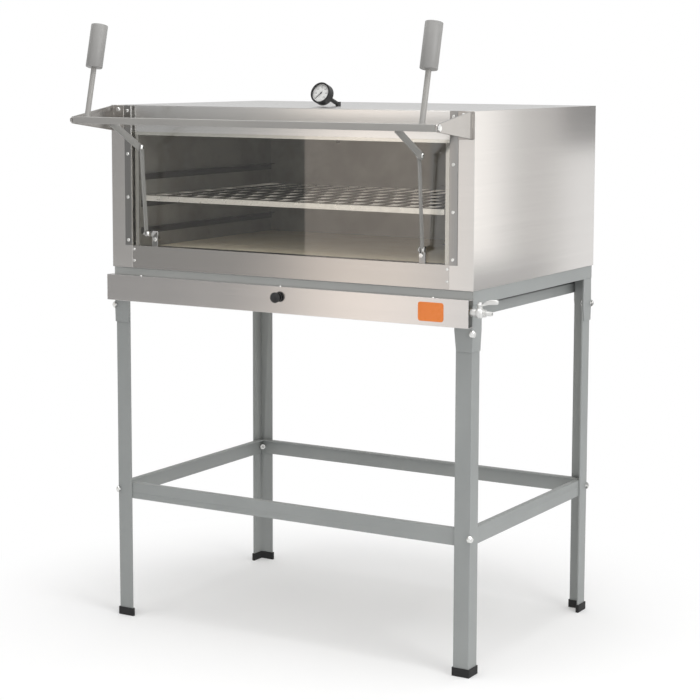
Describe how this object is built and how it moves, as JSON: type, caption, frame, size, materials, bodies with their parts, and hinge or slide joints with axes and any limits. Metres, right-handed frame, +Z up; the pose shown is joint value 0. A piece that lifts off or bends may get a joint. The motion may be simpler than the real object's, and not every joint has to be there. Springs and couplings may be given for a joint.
{
  "type": "gas deck oven",
  "caption": "Gas deck oven on a tall angle stand, with a glass door that slides up its front, lifted by a weighted crossbar lever, and a dial thermometer on top.",
  "frame": {"origin": "on the floor, under the middle of the bounding box", "axes": "+Z up, -Y out of the front with the door, +X to the side with the gas valve"},
  "size_m": [1.0738, 0.8338, 1.4793],
  "materials": {
    "stand_paint": "satin",
    "stainless": "satin",
    "chamber_steel": "matte",
    "bright_metal": "satin",
    "brass": "satin",
    "stone": "matte",
    "mineral_wool": "matte",
    "rubber": "matte",
    "black_plastic": "satin",
    "black_paint": "matte",
    "dial_white": "matte",
    "door_glass": "gloss",
    "lens": "gloss",
    "badge_orange": "gloss"
  },
  "bodies": {
    "oven": {"leg_front_left": "stand_paint", "leg_front_right": "stand_paint", "leg_back_left": "stand_paint", "leg_back_right": "stand_paint", "foot_caps": "rubber", "leg_sockets": "stand_paint", "rail_front": "stand_paint", "rail_back": "stand_paint", "rails_side": "stand_paint", "stretcher_front": "stand_paint", "stretcher_back": "stand_paint", "stretchers_side": "stand_paint", "stand_bolts": "bright_metal", "side_panel_left": "stainless", "side_panel_right": "stainless", "top_panel": "stainless", "rear_panel": "stainless", "front_lintel": "stainless", "front_sill": "stainless", "chamber_wall_left": "chamber_steel", "chamber_wall_right": "chamber_steel", "chamber_rear": "chamber_steel", "chamber_ceiling": "chamber_steel", "flue_duct": "chamber_steel", "insulation": "mineral_wool", "deck_stones": "stone", "deck_ledges": "chamber_steel", "shelf_runners": "chamber_steel", "wire_shelf": "bright_metal", "burner_box_sides": "stand_paint", "burner_box_rear": "stand_paint", "burner_carriers": "chamber_steel", "burner_pipes": "chamber_steel", "gas_pipe": "brass", "gas_injector": "brass", "ignition_electrode": "bright_metal", "control_panel": "stainless", "badge_plate": "badge_orange", "igniter_body": "black_plastic", "valve_body": "bright_metal", "hose_tail": "bright_metal", "thermometer_case": "black_plastic", "thermometer_dial": "dial_white", "thermometer_lens": "lens", "thermometer_probe": "black_paint", "door_guides": "stainless", "brackets": "stainless", "casing_screws": "bright_metal"},
    "lever": {"crossbar": "stand_paint", "crank_arms": "stand_paint", "weight_rods": "stand_paint", "counterweights": "stand_paint", "lever_bolts": "bright_metal"},
    "door": {"door_glass": "door_glass", "door_tabs": "stainless", "tab_pins": "bright_metal"},
    "links": {"door_links": "stand_paint"},
    "igniter": {"igniter_button": "black_plastic"},
    "valve": {"valve_lever": "bright_metal"},
    "pointer": {"thermometer_pointer": "black_paint"}
  },
  "joints": [
    {"name": "lever_swing", "type": "hinge", "parent": "oven", "child": "lever", "pos_m": [-0.02912, -0.40788, 1.25], "axis": [1, 0, 0], "range_deg": [0, 80]},
    {"name": "door_lift", "type": "slide", "parent": "oven", "child": "door", "axis": [0, 0, 1], "range_m": [0, 0.17893]},
    {"name": "link_swing", "type": "hinge", "parent": "door", "child": "links", "pos_m": [-0.02912, -0.27068, 0.9733], "axis": [1, 0, 0], "range_deg": [0, 9.15]},
    {"name": "igniter_push", "type": "slide", "parent": "oven", "child": "igniter", "axis": [0, 1, 0], "range_m": [0, 0.005], "stiffness_N_per_m": 600},
    {"name": "valve_turn", "type": "hinge", "parent": "oven", "child": "valve", "pos_m": [0.49288, -0.26088, 0.8395], "axis": [0, 0, -1], "range_deg": [0, 90]},
    {"name": "pointer_turn", "type": "hinge", "parent": "oven", "child": "pointer", "pos_m": [-0.02912, -0.08588, 1.3161], "axis": [0, 0.9455, -0.3256], "range_deg": [0, 270], "stiffness_Nm_per_rad": 0.0005}
  ],
  "couplings": [
    {"joint": "door_lift", "follows": "lever_swing", "m_per_rad": 0.12814},
    {"joint": "link_swing", "follows": "lever_swing", "ratio": 0.11429}
  ]
}
